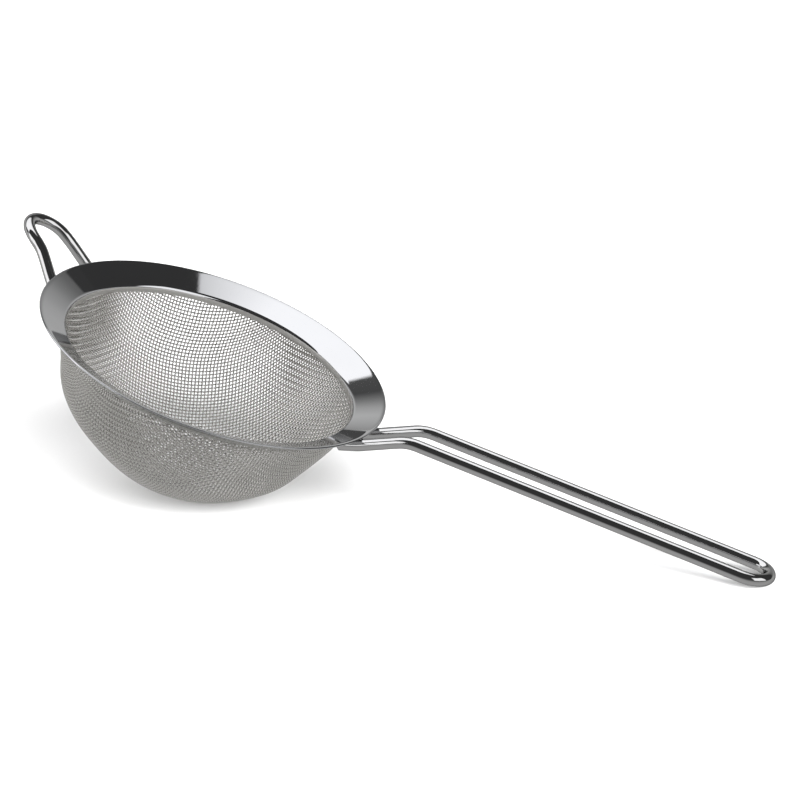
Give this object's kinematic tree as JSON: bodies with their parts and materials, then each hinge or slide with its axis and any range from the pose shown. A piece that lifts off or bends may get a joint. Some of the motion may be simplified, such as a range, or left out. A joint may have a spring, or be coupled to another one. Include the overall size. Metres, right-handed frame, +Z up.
{
  "type": "tea strainer",
  "caption": "Stainless tea strainer: a wide flared rim with a woven wire-cloth bowl, a long two-legged wire handle and a wire rest hook opposite, lying on its bowl and handle tip.",
  "frame": {"origin": "middle of the bounding box in plan, at the level of the table the strainer lies on", "axes": "+X from the bowl towards the tip of the handle, +Z up from the table; the rim's plane dips 20.7 degrees towards the handle, as the strainer lies on the bottom of its bowl and the tip of its handle"},
  "size_m": [0.2002, 0.0898, 0.0665],
  "materials": {
    "polished_sheet": "mirror-polished stainless steel sheet",
    "satin_band": "satin stainless steel band",
    "wire_cloth": "plain-woven stainless wire cloth, 0.907 mm between wires",
    "polished_wire": "polished 3 mm stainless steel wire",
    "weld": "dull resistance weld"
  },
  "bodies": {
    "root": {"rim": "polished_sheet", "clamp_band": "satin_band", "mesh_bowl": "wire_cloth", "handle_wire": "polished_wire", "hook_wire": "polished_wire", "weld_handle_right": "weld", "weld_handle_left": "weld", "weld_hook_left": "weld", "weld_hook_right": "weld"}
  },
  "joints": []
}
